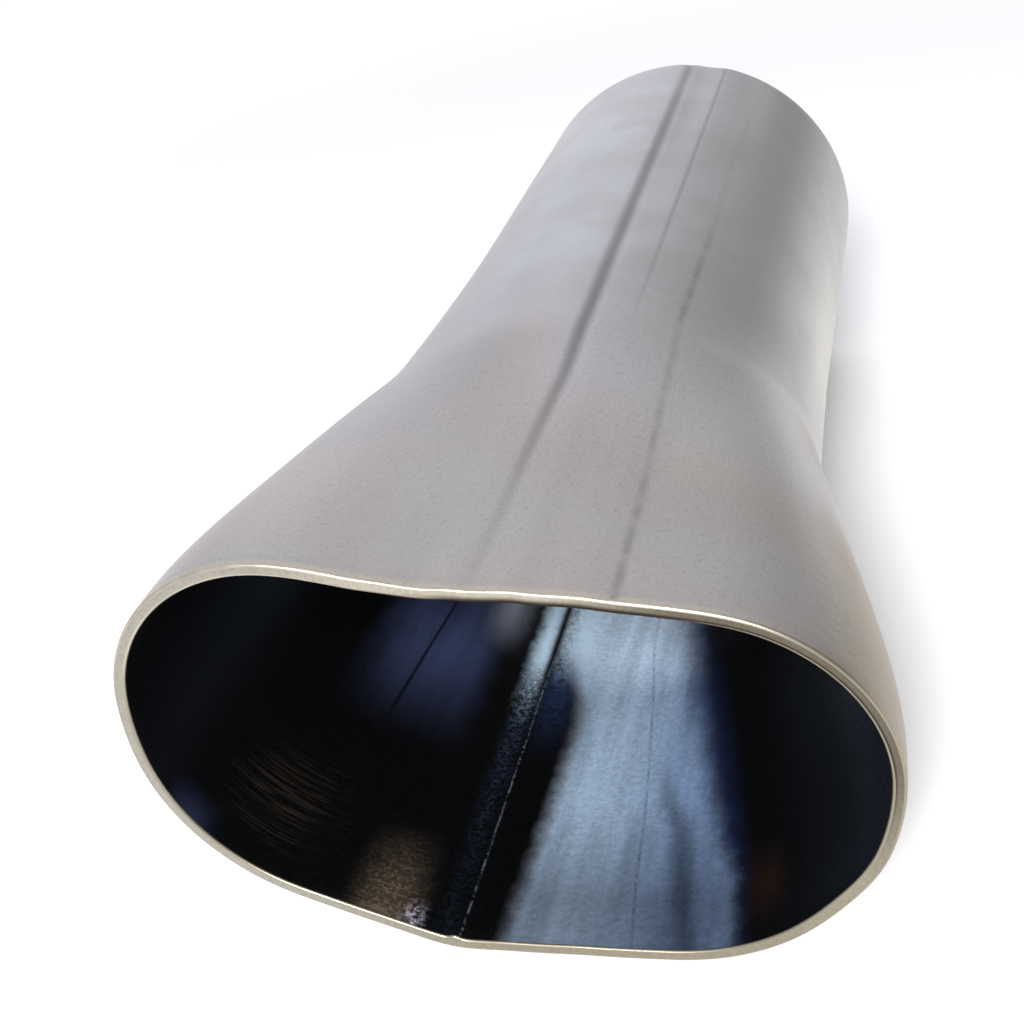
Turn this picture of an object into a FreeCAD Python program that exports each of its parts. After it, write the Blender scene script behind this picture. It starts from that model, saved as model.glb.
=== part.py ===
import FreeCAD, Part
import math
import os

# Exhaust collector cone: one length of seam-welded steel tube. One end was pushed over a die until
# it became a wide, low mouth that takes two primary pipes side by side.
#
# Frame, in millimetres: the origin is the centre of the outlet's cut face, +Y runs along the tube's axis
# out of the outlet, the mouth faces -Y and +Z is up. The cone lies on its flat underside, as it comes to
# rest. Angles are in degrees, seen from the mouth: 0 points to +X and 90 points up. Places along the tube
# are given as distances from the mouth.

# The tube it is made from
TUBE_OUTSIDE_DIAMETER = 63.5
WALL = 1.6
OVERALL_LENGTH = 166.0

# The neck, where the die stopped: its distance from the mouth at the two sides, how much nearer to the
# mouth it lies above and below, and how much the tube's radius is swollen at its sides. Underneath, where
# the clamp's saddle held the tube, it didn't swell.
NECK_FROM_MOUTH = 62.0
NECK_BOW = 13.0
NECK_SWELL = 0.6

# The mouth: its width outside, and how far its middle lies to the left of the tube's axis
MOUTH_WIDTH = 93.5
MOUTH_SHIFT = 0.55
MOUTH_RIGHT = MOUTH_WIDTH / 2.0 - MOUTH_SHIFT
MOUTH_LEFT = -MOUTH_WIDTH / 2.0 - MOUTH_SHIFT

# Its outside is a band stretched tight round six discs, each with a centre (x, z) and a radius
RIGHT_SHOULDER = (MOUTH_RIGHT - 22.6, -0.5, 22.6)
LEFT_SHOULDER = (MOUTH_LEFT + 24.7, 4.1, 24.5)
LEFT_HAUNCH = (MOUTH_LEFT + 27.1, 0.9, 27.1)
SEAM_CORNER = (-10.4, -25.6, 6.3)
RIGHT_HAUNCH = (MOUTH_RIGHT - 29.8, -4.1, 27.2)
RIGHT_FLANK = (MOUTH_RIGHT - 22.7, -3.8, 22.0)

# The band is averaged over this angle to both sides, as the steel bends gradually from straight to round
BAND_EASE = 4.0

# The shallow dish pressed into the top of the mouth
DISH_DEPTH = 1.3
DISH_X = -6.8
DISH_HALF_WIDTH = 12.0

# The flare: shares of the way from the mouth to the neck, and the share of the widening that the left
# and right sides have there; the last ones are left over at the neck. They and the swelling fade out behind
# it, and behind the fade's end the tube is as it was. Both lengths are skinned in rings.
FLARE_PLACES = (0.20, 0.45, 0.72, 1.0)
FLARE_LEFT = (0.965, 0.765, 0.510, 0.125)
FLARE_RIGHT = (0.920, 0.665, 0.365, 0.040)
FLARE_RINGS = 5
FADE_END_FROM_MOUTH = 100.0
FADE_RINGS = 3

# The bead that the tube mill's weld left along the seam inside. The forming stood it up in the flare; in
# the round length that takes the next pipe it is scarfed flush.
SEAM_ANGLE = -110.0
BEAD_HALF_ANGLE = 2.4
BEAD_HEIGHT = 0.4

# The edges of the two cut ends are rounded by the deburring wheel, outside and inside
OUTER_EDGE_ROUND = 0.35
INNER_EDGE_ROUND = 0.25
EDGE_TURNS = (0.0, 45.0, 90.0)

# Places taken round each section from the weld seam: close together across the bead, then even
BEAD_PLACES = 4
PLACES_ROUND = 66


def band_radius(angle, inset):
    """How far from the axis the mouth's band lies at an angle, set in by the wall for the inside."""
    discs = (RIGHT_SHOULDER, LEFT_SHOULDER, LEFT_HAUNCH, SEAM_CORNER, RIGHT_HAUNCH, RIGHT_FLANK)
    nearest = math.inf
    for lean in range(-80, 81):
        facing = math.radians(angle + lean)
        reach = max(x * math.cos(facing) + z * math.sin(facing) + r - inset for x, z, r in discs)
        nearest = min(nearest, reach / math.cos(math.radians(lean)))
    return nearest


def mouth_radius(angle, inset):
    """The band's reach, eased where it passes from one disc to the next, with the dish in its top."""
    radius = sum(band_radius(angle + BAND_EASE * turn, inset) for turn in (-1.0, -0.5, 0.0, 0.5, 1.0)) / 5.0
    across = radius * math.cos(math.radians(angle))
    upward = max(0.0, math.sin(math.radians(angle)))
    return radius - DISH_DEPTH * upward * math.exp(-(((across - DISH_X) / DISH_HALF_WIDTH) ** 2))


def place(angle, from_mouth, radius):
    """A point at an angle, at a distance from the mouth's plane and from the axis."""
    turn = math.radians(angle)
    return FreeCAD.Vector(radius * math.cos(turn), from_mouth - OVERALL_LENGTH, radius * math.sin(turn))


def from_left_to_right(left, right, angle):
    """A value that changes smoothly from the left side round to the right side."""
    return left + (right - left) * (1.0 + math.cos(math.radians(angle))) / 2.0


def bead(angle):
    """How far the weld bead stands up into the tube at an angle."""
    off_seam = (angle - SEAM_ANGLE + 180.0) % 360.0 - 180.0
    share = min(1.0, abs(off_seam) / BEAD_HALF_ANGLE)
    return BEAD_HEIGHT * math.cos(math.radians(90.0 * share)) ** 2


def neck_from_mouth(angle):
    """Where the neck's crease runs, nearer to the mouth above and below than at the sides."""
    return NECK_FROM_MOUTH - NECK_BOW * abs(math.sin(math.radians(angle))) ** 1.5


def tube_radius(angle, from_mouth):
    """The tube's outside radius from the neck on, where the swelling tapers off."""
    swollen = max(0.0, FADE_END_FROM_MOUTH - from_mouth) / (FADE_END_FROM_MOUTH - NECK_FROM_MOUTH)
    downward = max(0.0, -math.sin(math.radians(angle)))
    return TUBE_OUTSIDE_DIAMETER / 2.0 + NECK_SWELL * swollen * (1.0 - downward**2)


def lip_place(angle, inset, edge_round, turn):
    """A point of the mouth's rounded edge; turn goes from 0 on the cut face to 90 where the skin begins.
    A positive edge_round takes the edge off the outside and a negative one off the inside."""
    radius = mouth_radius(angle, inset + edge_round * (1.0 - math.sin(math.radians(turn))))
    return place(angle, abs(edge_round) * (1.0 - math.cos(math.radians(turn))), radius)


def flare_place(angle, inset, share, left, right):
    """A point of the flare, at a share of the way from the mouth to the neck."""
    neck = tube_radius(angle, neck_from_mouth(angle)) - inset
    radius = neck + from_left_to_right(left, right, angle) * (mouth_radius(angle, inset) - neck)
    return place(angle, share * neck_from_mouth(angle), radius)


def fade_place(angle, inset, share):
    """A point behind the neck, where what is left of the flare fades into the round tube."""
    neck = neck_from_mouth(angle)
    from_mouth = neck + share * (FADE_END_FROM_MOUTH - neck)
    left_over = (1.0 - share) ** 2 * from_left_to_right(FLARE_LEFT[-1], FLARE_RIGHT[-1], angle)
    widening = left_over * (mouth_radius(angle, inset) - tube_radius(angle, neck) + inset)
    return place(angle, from_mouth, tube_radius(angle, from_mouth) - inset + widening)


def angles_round():
    """The angles of the places taken round a section, from the seam once round."""
    close = [BEAD_HALF_ANGLE * i / BEAD_PLACES for i in range(BEAD_PLACES)]
    even_step = (360.0 - 2.0 * BEAD_HALF_ANGLE) / PLACES_ROUND
    even = [BEAD_HALF_ANGLE + even_step * i for i in range(PLACES_ROUND)]
    closing = [360.0 - BEAD_HALF_ANGLE + step for step in close]
    return [SEAM_ANGLE + turn for turn in close + even + closing]


def section(point_at):
    """A closed smooth curve round the tube; point_at gives its point at an angle."""
    angles = angles_round()
    knots = [(angle - SEAM_ANGLE) / 360.0 for angle in angles] + [1.0]
    curve = Part.BSplineCurve()
    curve.interpolate(Points=[point_at(angle) for angle in angles], PeriodicFlag=True, Parameters=knots)
    return Part.Wire([curve.toShape()])


def circle(from_mouth, radius):
    """A true circle round the axis that starts at the weld seam."""
    outline = Part.Circle(place(0.0, from_mouth, 0.0), FreeCAD.Vector(0, -1, 0), radius)
    outline.XAxis = place(SEAM_ANGLE, OVERALL_LENGTH, 1.0)
    return Part.Wire([outline.toShape()])


def rings(skin_face, count):
    """A long lofted face parted evenly into rings."""
    first, last, front, back = skin_face.Surface.bounds()
    step = (back - front) / count
    parted = []
    for i in range(count):
        ring = skin_face.Surface.copy()
        ring.segment(first, last, front + step * i, front + step * (i + 1))
        parted.append(ring.toShape())
    return parted


def formed_skin(inset, edge_round):
    """One skin of the formed length, from the mouth to the end of the fade, and its wire at the mouth."""
    lip = []
    for turn in EDGE_TURNS:
        lip.append(section(lambda angle: lip_place(angle, inset(angle, 0.0), edge_round, turn)))
    flare = [lip[-1]]
    for share, left, right in zip(FLARE_PLACES, FLARE_LEFT, FLARE_RIGHT):
        flare.append(section(lambda angle: flare_place(angle, inset(angle, 0.0), share, left, right)))
    fade = [flare[-1]]
    for share in [i / FADE_RINGS for i in range(1, FADE_RINGS)]:
        fade.append(section(lambda angle: fade_place(angle, inset(angle, share), share)))
    fade.append(circle(FADE_END_FROM_MOUTH, TUBE_OUTSIDE_DIAMETER / 2.0 - inset(SEAM_ANGLE, 1.0)))
    faces = Part.makeLoft(lip, False, True).Faces
    faces += rings(Part.makeLoft(flare, False, False).Faces[0], FLARE_RINGS)
    faces += Part.makeLoft(fade, False, True).Faces
    return faces, lip[0]


def outside_inset(angle, faded):
    """The outside has no wall to go in by and no bead."""
    return 0.0


def inside_inset(angle, faded):
    """The inside lies in by the wall and, at the seam, by what the fade has left of the bead."""
    return WALL + (1.0 - faded) * bead(angle)


def seam_place(from_mouth, radius):
    """A point in the half plane that holds the weld seam."""
    return place(SEAM_ANGLE, from_mouth, radius)


def plain_outline(inset, edge_round):
    """The outline of one skin behind the fade, along the round tube to the cut face."""
    skin_radius = TUBE_OUTSIDE_DIAMETER / 2.0 - inset
    outline = [seam_place(FADE_END_FROM_MOUTH, skin_radius)]
    for turn in reversed(EDGE_TURNS):
        from_mouth = OVERALL_LENGTH - abs(edge_round) * (1.0 - math.cos(math.radians(turn)))
        off_edge = edge_round * (1.0 - math.sin(math.radians(turn)))
        outline.append(seam_place(from_mouth, skin_radius - off_edge))
    return outline


def plain_length():
    """The skins and the cut face behind the fade: the wall's outline turned once round the axis."""
    outside = plain_outline(0.0, OUTER_EDGE_ROUND)
    inside = plain_outline(WALL, -INNER_EDGE_ROUND)
    wall = Part.makePolygon(outside + inside[::-1])
    return wall.revolve(FreeCAD.Vector(0, 0, 0), FreeCAD.Vector(0, -1, 0), 360.0).Faces


def closed_tube():
    """The walled tube: both skins of the formed length, the mouth's cut face and the plain length."""
    outside, mouth_outside = formed_skin(outside_inset, OUTER_EDGE_ROUND)
    inside, mouth_inside = formed_skin(inside_inset, -INNER_EDGE_ROUND)
    mouth_face = Part.makeFace([mouth_outside, mouth_inside], "Part::FaceMakerBullseye")
    shell = Part.makeShell(outside + inside + [mouth_face] + plain_length())
    shell.sewShape()
    solid = Part.makeSolid(shell.Shells[0])
    if solid.Volume < 0.0:
        solid.reverse()
    return solid


cone = closed_tube()
print("valid", cone.isValid(), "closed", cone.isClosed(), "volume", round(cone.Volume), "box", cone.BoundBox)
os.makedirs("parts", exist_ok=True)
cone.exportStep("parts/collector_cone.step")
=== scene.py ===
import bpy
import math
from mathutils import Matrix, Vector


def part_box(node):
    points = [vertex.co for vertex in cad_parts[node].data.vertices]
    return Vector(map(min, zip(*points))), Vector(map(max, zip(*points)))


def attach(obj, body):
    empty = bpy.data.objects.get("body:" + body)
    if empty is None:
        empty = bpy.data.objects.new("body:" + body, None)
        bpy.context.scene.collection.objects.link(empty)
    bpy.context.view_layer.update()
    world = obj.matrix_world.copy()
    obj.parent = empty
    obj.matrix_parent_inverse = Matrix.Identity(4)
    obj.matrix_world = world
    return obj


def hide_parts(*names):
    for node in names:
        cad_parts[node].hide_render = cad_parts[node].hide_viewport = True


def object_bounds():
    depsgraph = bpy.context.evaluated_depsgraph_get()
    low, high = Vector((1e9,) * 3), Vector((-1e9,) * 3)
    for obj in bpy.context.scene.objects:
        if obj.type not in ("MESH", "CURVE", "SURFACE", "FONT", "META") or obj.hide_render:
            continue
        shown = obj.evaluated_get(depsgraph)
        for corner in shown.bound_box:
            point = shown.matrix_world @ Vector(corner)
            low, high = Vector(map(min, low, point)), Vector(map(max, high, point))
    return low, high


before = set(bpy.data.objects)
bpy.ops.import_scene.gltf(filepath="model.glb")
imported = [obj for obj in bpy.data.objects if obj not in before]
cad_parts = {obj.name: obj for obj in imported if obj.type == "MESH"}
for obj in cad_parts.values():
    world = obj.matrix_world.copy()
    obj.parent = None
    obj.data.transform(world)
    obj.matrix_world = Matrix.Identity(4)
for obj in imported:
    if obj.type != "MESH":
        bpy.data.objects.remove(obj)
cad_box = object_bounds()

# The steel tube
#
# One length of seam-welded steel exhaust tube. One end was pushed over a die until it became a wide, low
# mouth for two primary pipes; behind the creased neck it is still the round tube. Bare satin steel outside,
# with the lines that the die's segments pressed, and dark oily mill scale inside.

tube_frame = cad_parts["collector_cone"]
tube_low, tube_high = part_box("collector_cone")
MOUTH_Y, OUTLET_Y = tube_low.y, tube_high.y
LENGTH_MM = (OUTLET_Y - MOUTH_Y) * 1000
WALL = 0.0016
EDGE_ROUND = 0.00035
PLACES_ROUND = 512
RINGS_ALONG = 70

# Places on the tube are an angle in degrees, seen from the mouth with 0 at +X and 90 up, and a distance
# from the mouth in millimetres. Each line runs through (distance, angle) pairs and is as strong as its
# (distance, share) pairs say.
DIE_LINES = {
    "long": {
        "path": ((0, 87.0), (29, 82.8), (40, 80.8), (54, 80.3), (106, 82.0), (166, 83.8)),
        "strength": ((0, 0.1), (12, 0.2), (32, 0.65), (55, 1.0), (120, 0.85), (150, 0.75), (166, 0.7)),
        "half_width": 2.9,
        "darkness": 0.8,
        "bump": 0.0,
    },
    "thin": {
        "path": ((0, 69.5), (52, 69.5), (166, 71.0)),
        "strength": ((0, 0.0), (50, 0.0), (66, 0.35), (100, 0.6), (166, 0.5)),
        "half_width": 1.1,
        "darkness": 0.6,
        "bump": 0.8,
    },
    "dotted": {
        "path": ((0, 53.0), (18, 54.0), (34, 56.0), (57, 58.8), (97, 58.0), (118, 59.0), (139, 57.5), (166, 55.8)),
        "strength": ((0, 0.9), (20, 0.75), (44, 0.4), (56, 0.5), (64, 0.9), (84, 0.7), (92, 0.2), (166, 0.2)),
        "half_width": 1.7,
        "darkness": 0.5,
        "bump": 0.6,
    },
}
LINE_DEPTH = 0.00022
# the flat that the die's edge left beside the long line, with its depth as a share of the line's
FLAT_ANGLE = 77.0
FLAT_HALF_WIDTH = 8.0
FLAT_SHARE = 1.5
FLAT_START = 70.0
FLAT_FULL_AFTER = 60.0
# the weld bead inside, which fades out where the forming ends
SEAM_ANGLE = -110.0
BEAD_HALF_ANGLE = 2.4
BEAD_HEIGHT = 0.0004
BEAD_END = 100.0
BEAD_FADE = 45.0


def deselect_all():
    """Leaves nothing selected and no object active."""
    bpy.ops.object.select_all(action="DESELECT")
    bpy.context.view_layer.objects.active = None


def apply_modifiers(piece):
    """Applies the piece's modifiers in their order."""
    deselect_all()
    piece.select_set(True)
    bpy.context.view_layer.objects.active = piece
    for name in [modifier.name for modifier in piece.modifiers]:
        bpy.ops.object.modifier_apply(modifier=name)


def along(pairs, distance):
    """The value at a distance from the mouth, between (distance, value) pairs."""
    for (near, first), (far, second) in zip(pairs, pairs[1:]):
        if distance <= far:
            return first + (second - first) * max(0.0, distance - near) / (far - near)
    return pairs[-1][1]


def move_out(vertex, by):
    """Moves a vertex straight out from the tube's axis."""
    reach = math.hypot(vertex.co.x, vertex.co.z)
    vertex.co.x *= (reach + by) / reach
    vertex.co.z *= (reach + by) / reach


def hump(off, half_width):
    """A smooth hump that is 1 in its middle and 0 from its half width on."""
    return math.cos(math.radians(90 * min(1.0, abs(off) / half_width))) ** 2


# a wide plain sleeve round the tube, open at both ends and cut across into rings
SLEEVE_RADIUS = 0.06
deselect_all()
bpy.ops.mesh.primitive_cylinder_add(
    vertices=PLACES_ROUND,
    radius=SLEEVE_RADIUS,
    depth=(OUTLET_Y - MOUTH_Y) - 2 * EDGE_ROUND,
    end_fill_type="NOTHING",
    location=(0.0, (OUTLET_Y + MOUTH_Y) / 2, 0.0),
    rotation=(math.radians(90), 0.0, 0.0),
)
tube = bpy.context.object
tube.name = "collector_tube"
bpy.ops.object.transform_apply(location=True, rotation=True, scale=True)
bpy.ops.object.mode_set(mode="EDIT")
bpy.ops.mesh.select_mode(type="EDGE")
bpy.ops.mesh.select_all(action="DESELECT")
bpy.ops.object.mode_set(mode="OBJECT")
for edge in tube.data.edges:
    ends = [tube.data.vertices[i].co for i in edge.vertices]
    edge.select = abs(ends[0].y - ends[1].y) > 0.01
bpy.ops.object.mode_set(mode="EDIT")
bpy.ops.mesh.subdivide(number_cuts=RINGS_ALONG)
bpy.ops.object.mode_set(mode="OBJECT")

# the sleeve shrinks straight inwards onto the frame's outside, and the frame's facets are smoothed out of it
shrink = tube.modifiers.new("onto_the_frame", "SHRINKWRAP")
shrink.target = tube_frame
shrink.wrap_method = "PROJECT"
shrink.use_negative_direction = True
shrink.use_positive_direction = False
smooth = tube.modifiers.new("facets_out", "SMOOTH")
smooth.factor = 0.5
smooth.iterations = 10
smooth.use_y = False
apply_modifiers(tube)

# the end rings go out to the two cut planes, and the die's line and the flat beside it are pressed in
for vertex in tube.data.vertices:
    if vertex.co.y < MOUTH_Y + 1.5 * EDGE_ROUND:
        vertex.co.y = MOUTH_Y
    elif vertex.co.y > OUTLET_Y - 1.5 * EDGE_ROUND:
        vertex.co.y = OUTLET_Y
    distance = (vertex.co.y - MOUTH_Y) * 1000
    angle = math.degrees(math.atan2(vertex.co.z, vertex.co.x))
    line = DIE_LINES["long"]
    off_line = angle - along(line["path"], distance)
    pressed = along(line["strength"], distance) * hump(off_line, line["half_width"])
    formed = min(1.0, max(0.0, distance - FLAT_START) / FLAT_FULL_AFTER)
    flat = FLAT_SHARE * formed * hump(angle - FLAT_ANGLE, FLAT_HALF_WIDTH)
    move_out(vertex, -LINE_DEPTH * (pressed + flat))

wall = tube.modifiers.new("wall", "SOLIDIFY")
wall.thickness = WALL
wall.offset = -1.0
wall.use_even_offset = True
wall.material_offset = 1
wall.material_offset_rim = 2


def add_node(tree, kind, inputs, **settings):
    """Adds a node; its inputs are linked to sockets or set to constants."""
    node = tree.nodes.new(kind)
    for setting, value in settings.items():
        setattr(node, setting, value)
    for key, value in inputs.items():
        if isinstance(value, bpy.types.NodeSocket):
            tree.links.new(value, node.inputs[key])
        else:
            node.inputs[key].default_value = value
    return node


def reckon(tree, operation, *values):
    """The result of one sum."""
    return add_node(tree, "ShaderNodeMath", dict(enumerate(values)), operation=operation).outputs[0]


def fade(tree, value, start, end, low=0.0, high=1.0):
    """Rises smoothly from low to high as the value goes from start to end."""
    limits = {"Value": value, "From Min": start, "From Max": end, "To Min": low, "To Max": high}
    return add_node(tree, "ShaderNodeMapRange", limits, interpolation_type="SMOOTHSTEP").outputs[0]


def noise(tree, coordinates, scale, detail=2.0, roughness=0.5):
    """Cloudy noise round 0.5; the scale counts its blots in a metre."""
    look = {"Vector": coordinates, "Scale": scale, "Detail": detail, "Roughness": roughness}
    return add_node(tree, "ShaderNodeTexNoise", look).outputs[0]


def mixed(tree, share, first, second):
    """The first colour, and the second where the share is 1."""
    return add_node(tree, "ShaderNodeMix", {0: share, 6: first, 7: second}, data_type="RGBA").outputs[2]


def follow(tree, distance, pairs, top):
    """The value at a distance from the mouth, between (distance, value) pairs; none is over the top."""
    share = reckon(tree, "DIVIDE", distance, LENGTH_MM)
    curve = add_node(tree, "ShaderNodeFloatCurve", {"Value": share})
    points = curve.mapping.curves[0].points
    for _ in pairs[2:]:
        points.new(0.5, 0.5)
    for point, (at, value) in zip(points, pairs):
        point.location = (at / LENGTH_MM, value / top)
        point.handle_type = "VECTOR"
    curve.mapping.update()
    return reckon(tree, "MULTIPLY", curve.outputs[0], top)


def ridge(tree, value, middle, half_width):
    """Is 1 where the value is at the middle and falls smoothly to 0 at the half width."""
    off = reckon(tree, "ABSOLUTE", reckon(tree, "SUBTRACT", value, middle))
    return fade(tree, off, 0.0, half_width, 1.0, 0.0)


# where a place is on the tube: its angle in degrees, and its distance from the mouth in millimetres
tube_place = bpy.data.node_groups.new("tube_place", "ShaderNodeTree")
tube_place.interface.new_socket("Angle", in_out="OUTPUT", socket_type="NodeSocketFloat")
tube_place.interface.new_socket("Mouth Distance", in_out="OUTPUT", socket_type="NodeSocketFloat")
tube_place.interface.new_socket("Place", in_out="INPUT", socket_type="NodeSocketVector")
place = add_node(tube_place, "NodeGroupInput", {}).outputs["Place"]
axes = add_node(tube_place, "ShaderNodeSeparateXYZ", {0: place}).outputs
turn = reckon(tube_place, "DEGREES", reckon(tube_place, "ARCTAN2", axes["Z"], axes["X"]))
from_mouth = reckon(tube_place, "MULTIPLY", reckon(tube_place, "SUBTRACT", axes["Y"], MOUTH_Y), 1000.0)
add_node(tube_place, "NodeGroupOutput", {"Angle": turn, "Mouth Distance": from_mouth})


def new_material(name, metallic, roughness):
    """A material of the tube with its tree, its shader and the sockets of tube_place."""
    material = bpy.data.materials.new(name)
    material.use_nodes = True
    tube.data.materials.append(material)
    tree = material.node_tree
    shader = tree.nodes["Principled BSDF"]
    shader.inputs["Metallic"].default_value = metallic
    shader.inputs["Roughness"].default_value = roughness
    place = add_node(tree, "ShaderNodeTexCoord", {}).outputs["Object"]
    placed = tree.nodes.new("ShaderNodeGroup")
    placed.node_tree = tube_place
    tree.links.new(place, placed.inputs["Place"])
    return tree, shader, placed.outputs["Angle"], placed.outputs["Mouth Distance"], place


def rough_up(tree, shader, height, distance):
    """Gives the shader's surface its fine relief."""
    relief = add_node(tree, "ShaderNodeBump", {"Height": height, "Distance": distance})
    tree.links.new(relief.outputs[0], shader.inputs["Normal"])


# the outside: satin steel with a fine orange peel, clouded, a little pink on the flare and a painted warm, dim
# reflection on its flank
PLAIN_GREY = (0.50, 0.50, 0.505, 1.0)
CLOUD_GREY = (0.465, 0.46, 0.455, 1.0)
SHADE_GREY = (0.40, 0.40, 0.41, 1.0)
PAINTED_HIGHLIGHT_STEEL = (0.64, 0.62, 0.57, 1.0)
FLARE_GREY = (0.49, 0.475, 0.465, 1.0)
FLARE_PINK = (0.50, 0.455, 0.435, 1.0)
FLANK_WARM_REFLECTION = (0.325, 0.275, 0.215, 1.0)
LIP_HIGHLIGHT_CREAM = (0.60, 0.545, 0.455, 1.0)
GRIME_AND_GROOVE_SHADE = (0.17, 0.16, 0.155, 1.0)
NECK_LIGHT = (0.61, 0.61, 0.65, 1.0)
CREASE_PALE = (0.66, 0.65, 0.64, 1.0)
tree, shader, angle, distance, spot = new_material("mill_steel_outside", 1.0, 0.42)
clouds = noise(tree, spot, 60.0, 4.0, 0.6)
colour = mixed(tree, fade(tree, clouds, 0.38, 0.62), PLAIN_GREY, CLOUD_GREY)
behind_neck = fade(tree, distance, 62.0, 74.0)
shaded = reckon(tree, "MULTIPLY", ridge(tree, angle, 38.0, 20.0), behind_neck)
colour = mixed(tree, shaded, colour, SHADE_GREY)
# painted highlights: a band near the outlet and a reflection along the right edge of the round tube
highlight_near_outlet = reckon(tree, "MULTIPLY", ridge(tree, angle, 56.5, 7.0), fade(tree, distance, 124.0, 150.0, 0.0, 0.45))
reflection_on_right_edge = reckon(tree, "MULTIPLY", fade(tree, angle, 24.0, 8.0), ridge(tree, distance, 95.0, 50.0))
pale = reckon(tree, "MAXIMUM", highlight_near_outlet, reckon(tree, "MULTIPLY", reflection_on_right_edge, fade(tree, angle, -60.0, -20.0)))
colour = mixed(tree, pale, colour, PAINTED_HIGHLIGHT_STEEL)
on_the_flare = fade(tree, distance, 66.0, 40.0)
colour = mixed(tree, on_the_flare, colour, FLARE_GREY)
pink_share = reckon(tree, "MULTIPLY", on_the_flare, fade(tree, noise(tree, spot, 28.0, 3.0), 0.42, 0.6))
colour = mixed(tree, pink_share, colour, FLARE_PINK)
# painted light on the right side of the flare
lit_side = reckon(tree, "MULTIPLY", ridge(tree, angle, 46.0, 24.0), fade(tree, distance, 14.0, 36.0, 0.0, 0.7))
colour = mixed(tree, reckon(tree, "MULTIPLY", lit_side, on_the_flare), colour, PAINTED_HIGHLIGHT_STEEL)
# a painted warm, dim reflection on the lower right flank of the flare
flank = reckon(tree, "MULTIPLY", fade(tree, angle, 27.0, 14.0), fade(tree, angle, -70.0, -20.0))
colour = mixed(tree, reckon(tree, "MULTIPLY", flank, fade(tree, distance, 68.0, 50.0)), colour, FLANK_WARM_REFLECTION)
# a painted highlight on the lip over the mouth, painted shade on the left side and painted light on the top of the
# flare
lip = reckon(tree, "MULTIPLY", fade(tree, distance, 1.5, 0.6), fade(tree, angle, 18.0, 50.0))
colour = mixed(tree, reckon(tree, "MULTIPLY", lip, 0.8), colour, LIP_HIGHLIGHT_CREAM)
left_shade = reckon(tree, "MULTIPLY", fade(tree, angle, 90.0, 104.0), fade(tree, distance, 18.0, 40.0))
left_shade = reckon(tree, "MULTIPLY", left_shade, fade(tree, distance, 140.0, 110.0))
colour = mixed(tree, reckon(tree, "MULTIPLY", left_shade, 0.45), colour, SHADE_GREY)
neck_light = reckon(tree, "MULTIPLY", ridge(tree, distance, 43.0, 20.0), fade(tree, angle, 96.0, 80.0, 0.0, 0.5))
colour = mixed(tree, neck_light, colour, NECK_LIGHT)
# the neck's crease, which catches the light round the right side
crease_from_mouth = reckon(tree, "SUBTRACT", 65.0, reckon(tree, "MULTIPLY", angle, 0.2))
crease = ridge(tree, distance, crease_from_mouth, 4.0)
crease = reckon(tree, "MULTIPLY", crease, fade(tree, angle, 60.0, 44.0, 0.0, 0.4))
colour = mixed(tree, reckon(tree, "MULTIPLY", crease, fade(tree, angle, -8.0, 4.0)), colour, CREASE_PALE)
# fine specks all over, most on the flare where the steel was drawn
specks = fade(tree, noise(tree, spot, 2200.0, 3.0, 0.8), 0.50, 0.70)
specks = reckon(tree, "MULTIPLY", specks, fade(tree, distance, 90.0, 50.0, 0.08, 0.26))
colour = mixed(tree, specks, colour, GRIME_AND_GROOVE_SHADE)
peel = noise(tree, spot, 1000.0, 3.0, 0.65)
height = reckon(tree, "MULTIPLY", peel, fade(tree, distance, 80.0, 40.0, 0.35, 1.0))
# each die line darkens the steel, partly dirt in its groove and partly painted groove shade, and sinks the relief
for name, line in DIE_LINES.items():
    middle = follow(tree, distance, line["path"], 180.0)
    strength = follow(tree, distance, line["strength"], 1.0)
    if name == "dotted":
        dots = fade(tree, noise(tree, spot, 300.0, 3.0), 0.38, 0.58, 0.5, 1.0)
        strength = reckon(tree, "MULTIPLY", strength, dots)
    mark = reckon(tree, "MULTIPLY", strength, ridge(tree, angle, middle, line["half_width"]))
    colour = mixed(tree, reckon(tree, "MULTIPLY", mark, line["darkness"]), colour, GRIME_AND_GROOVE_SHADE)
    height = reckon(tree, "SUBTRACT", height, reckon(tree, "MULTIPLY", mark, line["bump"]))
tree.links.new(colour, shader.inputs["Base Color"])
tree.links.new(fade(tree, clouds, 0.3, 0.7, 0.40, 0.44), shader.inputs["Roughness"])
rough_up(tree, shader, height, 0.00006)

# the inside: black oily mill scale, its black also standing in for shade, with a painted reflection of blue light
# along the floor; here the angle counts downwards
SCALE_BLACK_AND_SHADE = (0.0012, 0.0012, 0.0015, 1.0)
REFLECTION_LIGHT = (0.54, 0.72, 0.96, 1.0)
REFLECTION_SKY = (0.62, 0.79, 1.0, 1.0)
REFLECTION_BLUE = (0.26, 0.38, 0.62, 1.0)
REFLECTION_NAVY = (0.010, 0.020, 0.07, 1.0)
REFLECTION_EDGE_GREY = (0.31, 0.31, 0.31, 1.0)
SEAM_GLINT = (0.62, 0.82, 1.0, 1.0)
NAVY_GLINT = (0.036, 0.062, 0.13, 1.0)
NAVY_SEAM_GLINT = (0.022, 0.046, 0.13, 1.0)
LILAC_GLINT = (0.55, 0.53, 0.66, 1.0)
DIM_BLUE_REFLECTION = (0.034, 0.046, 0.105, 1.0)
DIM_GREY_REFLECTION = (0.24, 0.27, 0.34, 1.0)
RUST_BROWN = (0.135, 0.10, 0.07, 1.0)
RED_TINT = (0.017, 0.007, 0.005, 1.0)
LEFT_SIDE = ((0, 100.0), (18, 98.6), (42, 97.5), (48, 99.0), (53, 103.5), (58, 107.5), (166, 109.0))
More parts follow.
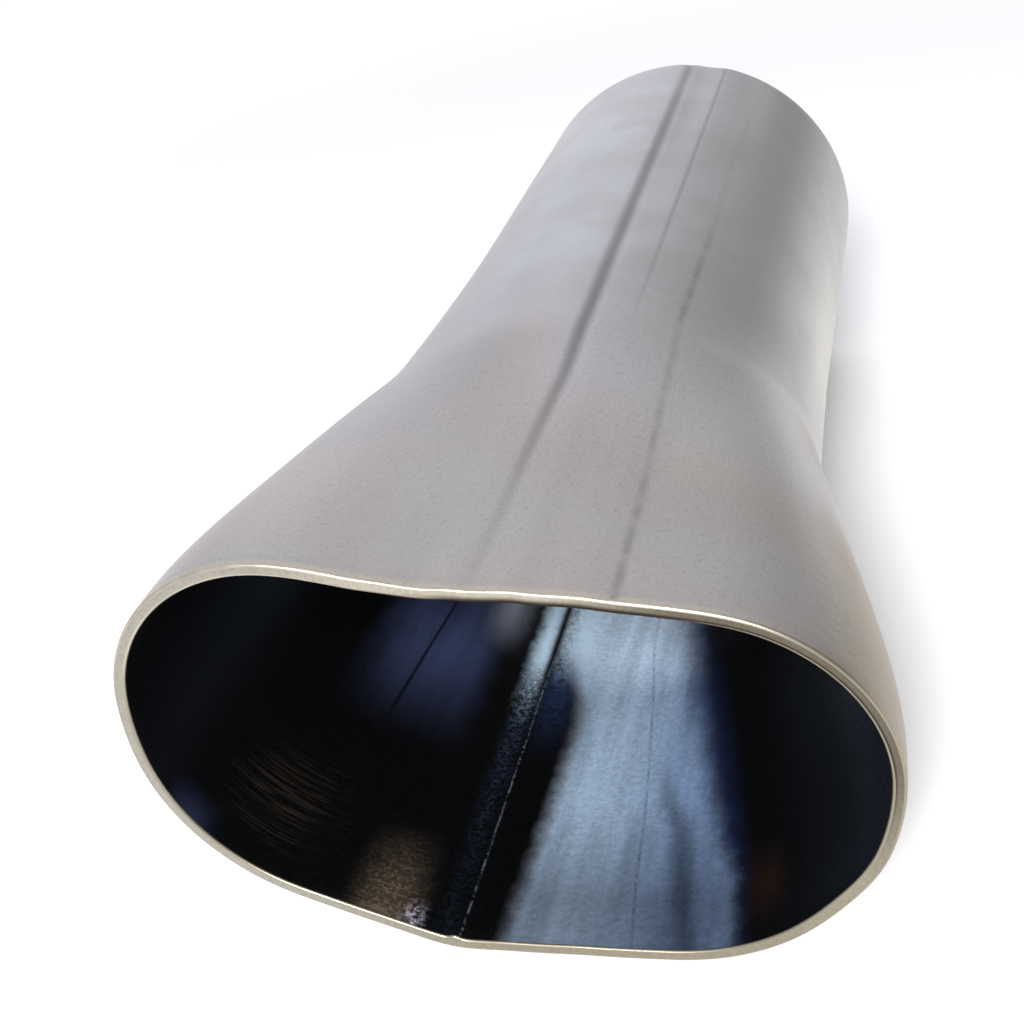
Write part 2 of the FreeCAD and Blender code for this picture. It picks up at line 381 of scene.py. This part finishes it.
RIGHT_SIDE = ((0, 44.5), (11, 45.0), (30, 47.5), (42, 49.5), (52, 53.0), (60, 57.0), (80, 62.0), (166, 66.0))
RIGHT_WIDTH = ((0, 4.5), (11, 5.5), (26, 10.5), (50, 15.0), (62, 20.0), (166, 20.0))
CREASE_PATH = ((0, 68.0), (11, 70.0), (22, 71.0), (34, 73.0), (47.5, 76.0), (60, 79.7), (166, 90.0))
SMUDGE_PATH = ((0, 57.0), (3.5, 58.5), (11, 60.0), (20, 62.0), (26, 66.0), (40, 72.0), (166, 80.0))
SCRATCH_PATH = ((0, 146.0), (31, 144.0), (57, 142.4), (166, 140.0))
STRIP_LEVEL = ((0, 0.12), (10, 0.12), (20, 0.2), (32, 0.4), (46, 0.8), (54, 1.0), (166, 1.0))
REFLECTION_LEVEL = ((0, 0.19), (2, 0.24), (8, 0.22), (26, 0.56), (48, 0.52), (60, 0.95), (70, 1.0), (166, 1.0))
tree, shader, angle, distance, spot = new_material("mill_scale_inside", 0.0, 0.4)
true_below = reckon(tree, "MULTIPLY", angle, -1.0)
wander = reckon(tree, "MULTIPLY", reckon(tree, "SUBTRACT", noise(tree, spot, 260.0, 4.0, 0.7), 0.5), 4.0)
below = reckon(tree, "ADD", true_below, wander)
lengthwise = add_node(tree, "ShaderNodeVectorMath", {0: spot, 1: (1.0, 0.1, 1.0)}, operation="MULTIPLY").outputs[0]
curtains = noise(tree, lengthwise, 260.0, 3.0, 0.6)
grain = noise(tree, spot, 1100.0, 4.0, 0.75)
glints = fade(tree, grain, 0.52, 0.66)

# the streak of painted blue reflection along the floor between its two sides, paler to the left, with its crease and
# its smudge
past_left = reckon(tree, "SUBTRACT", follow(tree, distance, LEFT_SIDE, 180.0), below)
past_right = reckon(tree, "SUBTRACT", below, follow(tree, distance, RIGHT_SIDE, 180.0))
past_right = reckon(tree, "DIVIDE", past_right, follow(tree, distance, RIGHT_WIDTH, 20.0))
streak = reckon(tree, "MULTIPLY", fade(tree, past_left, -2.0, 5.0), fade(tree, past_right, 0.0, 0.7))
blue = mixed(tree, fade(tree, past_right, 0.3, 1.3), REFLECTION_NAVY, REFLECTION_BLUE)
blue = mixed(tree, fade(tree, below, 58.0, 86.0), blue, REFLECTION_LIGHT)
blue = mixed(tree, fade(tree, distance, 46.0, 62.0), blue, REFLECTION_SKY)
blue = mixed(tree, fade(tree, past_right, 1.2, 0.2), blue, REFLECTION_NAVY)
blue = mixed(tree, fade(tree, past_left, 5.0, 0.0, 0.0, 0.6), blue, REFLECTION_EDGE_GREY)
fine_tone = fade(tree, grain, 0.30, 0.70, 0.86, 1.14)
tone = reckon(tree, "MULTIPLY", fade(tree, curtains, 0.30, 0.70, 0.78, 1.12), fine_tone)
level = reckon(tree, "MULTIPLY", follow(tree, distance, REFLECTION_LEVEL, 1.0), tone)
blue = mixed(tree, level, SCALE_BLACK_AND_SHADE, blue)
crease = ridge(tree, true_below, follow(tree, distance, CREASE_PATH, 180.0), 0.7)
crease = reckon(tree, "MULTIPLY", crease, fade(tree, grain, 0.42, 0.58, 0.05, 0.5))
smudge = ridge(tree, below, follow(tree, distance, SMUDGE_PATH, 180.0), 4.5)
smudge = reckon(tree, "MULTIPLY", smudge, fade(tree, distance, 36.0, 22.0, 0.0, 0.55))
blue = mixed(tree, reckon(tree, "MAXIMUM", crease, smudge), blue, SCALE_BLACK_AND_SHADE)
colour = mixed(tree, streak, SCALE_BLACK_AND_SHADE, blue)

# left of the seam a strip of painted glints, all blue deep inside, and beyond it dim painted reflections on the scale
strip = reckon(tree, "MULTIPLY", ridge(tree, below, 112.6, 5.0), follow(tree, distance, STRIP_LEVEL, 1.0))
fine_glints = fade(tree, noise(tree, spot, 1700.0, 4.0, 0.8), 0.44, 0.64)
all_over = fade(tree, distance, 42.0, 60.0, 0.03, 0.9)
strip = reckon(tree, "MULTIPLY", strip, reckon(tree, "MAXIMUM", fine_glints, all_over))
strip_blue = mixed(tree, fade(tree, distance, 38.0, 56.0), NAVY_GLINT, SEAM_GLINT)
colour = mixed(tree, strip, colour, strip_blue)
# right of the seam painted glints, navy towards the mouth and blue deep inside
right_of_seam = reckon(tree, "MULTIPLY", ridge(tree, below, 104.0, 8.5), fade(tree, distance, 32.0, 60.0))
right_of_seam = reckon(tree, "MULTIPLY", right_of_seam, fade(tree, grain, 0.36, 0.62, 0.25, 1.0))
deep_blue = mixed(tree, fade(tree, distance, 48.0, 66.0), NAVY_SEAM_GLINT, SEAM_GLINT)
colour = mixed(tree, right_of_seam, colour, deep_blue)
# painted dim blue reflection far to the left and at the left of the mouth, and a painted grey reflection deep inside
far_left = reckon(tree, "MULTIPLY", fade(tree, below, 121.0, 134.0), fade(tree, below, 160.0, 146.0))
far_left = reckon(tree, "MULTIPLY", far_left, fade(tree, distance, 28.0, 54.0))
colour = mixed(tree, reckon(tree, "MULTIPLY", far_left, fade(tree, curtains, 0.3, 0.7, 0.6, 1.0)), colour, DIM_BLUE_REFLECTION)
mouth_glow = reckon(tree, "MULTIPLY", ridge(tree, below, 166.0, 7.0), ridge(tree, distance, 0.0, 6.0))
colour = mixed(tree, reckon(tree, "MULTIPLY", mouth_glow, 0.4), colour, DIM_BLUE_REFLECTION)
deep_grey = reckon(tree, "MULTIPLY", ridge(tree, below, 126.0, 9.0), fade(tree, distance, 52.0, 66.0))
deep_grey = reckon(tree, "MULTIPLY", deep_grey, fade(tree, curtains, 0.3, 0.7, 0.6, 1.0))
colour = mixed(tree, deep_grey, colour, DIM_GREY_REFLECTION)
scratch = ridge(tree, true_below, follow(tree, distance, SCRATCH_PATH, 180.0), 0.7)
scratch = reckon(tree, "MULTIPLY", scratch, fade(tree, distance, 28.0, 36.0, 0.0, 0.9))
colour = mixed(tree, scratch, colour, SCALE_BLACK_AND_SHADE)

# at the mouth brown rust, scratched in arcs by the pipes that were tried in it, and a red tint on the right
arcs = add_node(tree, "ShaderNodeVectorMath", {0: spot, 1: (0.04, 1.3, 0.04)}, operation="MULTIPLY").outputs[0]
scratches = fade(tree, noise(tree, arcs, 2600.0, 2.0, 0.7), 0.48, 0.74)
rust = reckon(tree, "MULTIPLY", ridge(tree, below, 127.0, 10.5), fade(tree, distance, 17.0, 1.0, 0.0, 0.95))
brown = reckon(tree, "MULTIPLY", rust, fade(tree, reckon(tree, "MAXIMUM", fine_glints, scratches), 0.0, 1.0, 0.3, 1.0))
scuff = reckon(tree, "MULTIPLY", ridge(tree, below, 153.0, 15.0), ridge(tree, distance, 12.0, 11.0))
brown = reckon(tree, "MAXIMUM", brown, reckon(tree, "MULTIPLY", reckon(tree, "MULTIPLY", scuff, scratches), 0.28))
colour = mixed(tree, brown, colour, RUST_BROWN)
# painted lilac glints at the mouth, left of the seam
lilac = reckon(tree, "MULTIPLY", ridge(tree, below, 120.5, 3.8), fade(tree, distance, 5.0, 1.0, 0.0, 0.8))
colour = mixed(tree, reckon(tree, "MULTIPLY", lilac, fine_glints), colour, LILAC_GLINT)
red = reckon(tree, "MULTIPLY", ridge(tree, below, 43.0, 7.0), ridge(tree, distance, 9.0, 8.0))
red = reckon(tree, "MULTIPLY", red, 0.5)
colour = mixed(tree, red, colour, RED_TINT)

# the seam itself: a dark ridge deep inside, with a faint painted glint along its crest towards the mouth
seam_side = reckon(tree, "MULTIPLY", ridge(tree, true_below, 109.4, 1.7), fade(tree, distance, 44.0, 54.0, 0.6, 1.0))
colour = mixed(tree, seam_side, colour, SCALE_BLACK_AND_SHADE)
crest = reckon(tree, "MULTIPLY", ridge(tree, true_below, 109.0, 0.45), fade(tree, distance, 60.0, 46.0, 0.0, 0.14))
crest = reckon(tree, "MULTIPLY", crest, fade(tree, grain, 0.44, 0.60))
colour = mixed(tree, crest, colour, SEAM_GLINT)
tree.links.new(colour, shader.inputs["Base Color"])
tree.links.new(fade(tree, glints, 0.0, 1.0, 0.42, 0.28), shader.inputs["Roughness"])
shader.inputs["Specular IOR Level"].default_value = 0.25
relief = reckon(tree, "MULTIPLY", grain, reckon(tree, "MAXIMUM", streak, reckon(tree, "ADD", strip, 0.1)))
rough_up(tree, shader, relief, 0.00013)

# the cut ends: ground flat and beige with brown grit, a paler painted reflection on the left half, a painted cream
# highlight over the mouth and painted brown shade along the inner edge of its upper right
CUT_BEIGE = (0.345, 0.31, 0.235, 1.0)
CUT_HIGHLIGHT_CREAM = (0.52, 0.47, 0.385, 1.0)
CUT_REFLECTION_GREY = (0.40, 0.375, 0.325, 1.0)
CUT_GRIT_AND_SHADE_BROWN = (0.034, 0.022, 0.016, 1.0)
tree, shader, angle, distance, spot = new_material("cut_rim", 1.0, 0.45)
# paler on the left half: a painted reflection
left_half = fade(tree, reckon(tree, "ABSOLUTE", angle), 95.0, 140.0)
colour = mixed(tree, left_half, CUT_BEIGE, CUT_REFLECTION_GREY)
through = add_node(tree, "ShaderNodeAttribute", {}, attribute_name="through_wall").outputs["Fac"]
# a painted cream highlight over the mouth
cream = reckon(tree, "MULTIPLY", fade(tree, angle, 52.0, 72.0), fade(tree, angle, 132.0, 108.0))
colour = mixed(tree, cream, colour, CUT_HIGHLIGHT_CREAM)
# painted brown shade along the inner edge of the upper right
brown = reckon(tree, "MULTIPLY", fade(tree, angle, -24.0, 6.0), fade(tree, angle, 112.0, 84.0))
brown = reckon(tree, "MULTIPLY", brown, fade(tree, distance, 4.0, 2.0))
inner_half = reckon(tree, "MAXIMUM", fade(tree, through, 0.3, 0.8), fade(tree, angle, 62.0, 40.0, 0.0, 0.6))
brown = reckon(tree, "MULTIPLY", brown, inner_half)
colour = mixed(tree, brown, colour, CUT_GRIT_AND_SHADE_BROWN)
grit = noise(tree, spot, 1700.0, 3.0, 0.6)
colour = mixed(tree, fade(tree, grit, 0.35, 0.75, 0.0, 0.18), colour, CUT_GRIT_AND_SHADE_BROWN)
tree.links.new(colour, shader.inputs["Base Color"])
rough_up(tree, shader, grit, 0.00002)

# the rounded edges of the cut ends, with a painted cream highlight over the mouth that the nicks break up, and painted
# brown shade on the inner edge of the upper right
EDGE_HIGHLIGHT_CREAM = (0.58, 0.525, 0.435, 1.0)
EDGE_DULL = (0.33, 0.295, 0.225, 1.0)
EDGE_SHADE_BROWN = (0.034, 0.022, 0.016, 1.0)
tree, shader, angle, distance, spot = new_material("deburred_edge", 1.0, 0.38)
over_mouth = reckon(tree, "MULTIPLY", fade(tree, angle, 18.0, 50.0), fade(tree, angle, 175.0, 150.0))
nicks = fade(tree, noise(tree, spot, 300.0, 4.0, 0.6), 0.40, 0.66, 1.0, 0.6)
through = add_node(tree, "ShaderNodeAttribute", {}, attribute_name="through_wall").outputs["Fac"]
# the painted highlight over the mouth, broken by nicks
bright = reckon(tree, "MULTIPLY", over_mouth, nicks)
colour = mixed(tree, bright, EDGE_DULL, EDGE_HIGHLIGHT_CREAM)
# painted brown shade along the inner edge of the upper right
brown = reckon(tree, "MULTIPLY", fade(tree, angle, 24.0, 44.0), fade(tree, angle, 120.0, 100.0))
brown = reckon(tree, "MULTIPLY", brown, fade(tree, distance, 4.0, 2.0))
brown = reckon(tree, "MULTIPLY", brown, fade(tree, through, 0.4, 0.6))
tree.links.new(mixed(tree, brown, colour, EDGE_SHADE_BROWN), shader.inputs["Base Color"])

apply_modifiers(tube)

# the weld bead stands up from the inner skin along the formed length
outside_points = {i for face in tube.data.polygons if face.material_index == 0 for i in face.vertices}
for vertex in tube.data.vertices:
    if vertex.index in outside_points:
        continue
    distance = (vertex.co.y - MOUTH_Y) * 1000
    off_seam = math.degrees(math.atan2(vertex.co.z, vertex.co.x)) - SEAM_ANGLE
    stands = BEAD_HEIGHT * min(1.0, max(0.0, (BEAD_END - distance) / BEAD_FADE))
    if abs(off_seam) < BEAD_HALF_ANGLE:
        move_out(vertex, -stands * hump(off_seam, BEAD_HALF_ANGLE))

# each place keeps how far through the wall it is, for the finish of the rim: 0 outside and 1 inside
through_wall = tube.data.attributes.new("through_wall", "FLOAT", "POINT")
for vertex in tube.data.vertices:
    through_wall.data[vertex.index].value = 0.0 if vertex.index in outside_points else 1.0

# the sharp edges of both cut ends are rounded off
lips = tube.modifiers.new("deburred_lips", "BEVEL")
lips.width = EDGE_ROUND
lips.segments = 3
lips.limit_method = "ANGLE"
lips.angle_limit = math.radians(50)
lips.material = 3
apply_modifiers(tube)
deselect_all()
tube.select_set(True)
bpy.context.view_layer.objects.active = tube
bpy.ops.object.shade_smooth_by_angle(angle=math.radians(40))

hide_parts("collector_cone")
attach(tube, "root")

# The studio
#
# A pale floor in a pale room with a window, one soft lamp in front, and the camera where the photograph was taken.

FLOOR_Z = cad_box[0].z
FLOOR_SIZE = 6.0
FLOOR_PALE = (0.93, 0.93, 0.93, 1.0)
PLAIN_WHITE = (1.0, 1.0, 1.0, 1.0)
NO_COLOUR = (0.0, 0.0, 0.0, 1.0)

deselect_all()
bpy.ops.mesh.primitive_plane_add(size=FLOOR_SIZE, location=(0.0, 0.0, FLOOR_Z))
floor = bpy.context.object
floor.name = "studio_floor"
floor_material = bpy.data.materials.new("studio_white")
floor_material.use_nodes = True
floor_shader = floor_material.node_tree.nodes["Principled BSDF"]
floor_shader.inputs["Roughness"].default_value = 0.9
floor.data.materials.append(floor_material)
# away from the tube the floor goes over into the photograph's plain white, which the steel reflects too
floor_tree = floor_material.node_tree
floor_place = add_node(floor_tree, "ShaderNodeTexCoord", {}).outputs["Object"]
reach = add_node(floor_tree, "ShaderNodeVectorMath", {0: floor_place}, operation="LENGTH").outputs["Value"]
paths = add_node(floor_tree, "ShaderNodeLightPath", {}).outputs
seen = reckon(floor_tree, "MAXIMUM", paths["Is Camera Ray"], paths["Is Glossy Ray"])
seen = reckon(floor_tree, "MAXIMUM", seen, paths["Is Transmission Ray"])
whiten = reckon(floor_tree, "MULTIPLY", fade(floor_tree, reach, 0.20, 0.42), seen)
floor_colour = mixed(floor_tree, whiten, FLOOR_PALE, NO_COLOUR)
floor_tree.links.new(floor_colour, floor_shader.inputs["Base Color"])
floor_shader.inputs["Emission Color"].default_value = PLAIN_WHITE
floor_tree.links.new(whiten, floor_shader.inputs["Emission Strength"])

world = bpy.data.worlds.new("studio_world")
bpy.context.scene.world = world
world.use_nodes = True
# the room, paler towards the upper left and brightest in the low window behind the tube
ROOM_DIM = (0.38, 0.375, 0.37, 1.0)
ROOM_BRIGHT = (0.84, 0.85, 0.90, 1.0)
WINDOW = (1.25, 1.27, 1.42, 1.0)
sky = world.node_tree
direction = add_node(sky, "ShaderNodeTexCoord", {}).outputs["Generated"]
towards_window = add_node(
    sky, "ShaderNodeVectorMath", {0: direction, 1: (-0.62, 0.30, 0.72)}, operation="DOT_PRODUCT"
).outputs["Value"]
room = mixed(sky, fade(sky, towards_window, -0.1, 0.95), ROOM_DIM, ROOM_BRIGHT)
low_window = add_node(
    sky, "ShaderNodeVectorMath", {0: direction, 1: (-0.32, 0.93, 0.17)}, operation="DOT_PRODUCT"
).outputs["Value"]
room = mixed(sky, fade(sky, low_window, 0.90, 1.0), room, WINDOW)
sky.links.new(room, sky.nodes["Background"].inputs["Color"])


def area_lamp(name, location, aim, size, power):
    """A square soft lamp that faces a point."""
    lamp = bpy.data.lights.new(name, "AREA")
    lamp.shape = "SQUARE"
    lamp.size = size
    lamp.energy = power
    holder = bpy.data.objects.new(name, lamp)
    bpy.context.scene.collection.objects.link(holder)
    holder.location = location
    holder.rotation_euler = (Vector(aim) - Vector(location)).to_track_quat("-Z", "Y").to_euler()
    return holder


area_lamp("front_softbox", (0.05, -1.0, 0.62), (0.0, -0.12, 0.0), 0.3, 16.0)

camera_data = bpy.data.cameras.new("camera")
camera_data.lens = 51.0
camera_data.sensor_width = 36.0
camera = bpy.data.objects.new("camera", camera_data)
bpy.context.scene.collection.objects.link(camera)
camera.location = (0.05194, -0.28409, 0.10999)
camera.rotation_euler = [math.radians(turn) for turn in (58.502, 10.157, 13.957)]
bpy.context.scene.camera = camera
bpy.context.scene.view_settings.view_transform = "Standard"
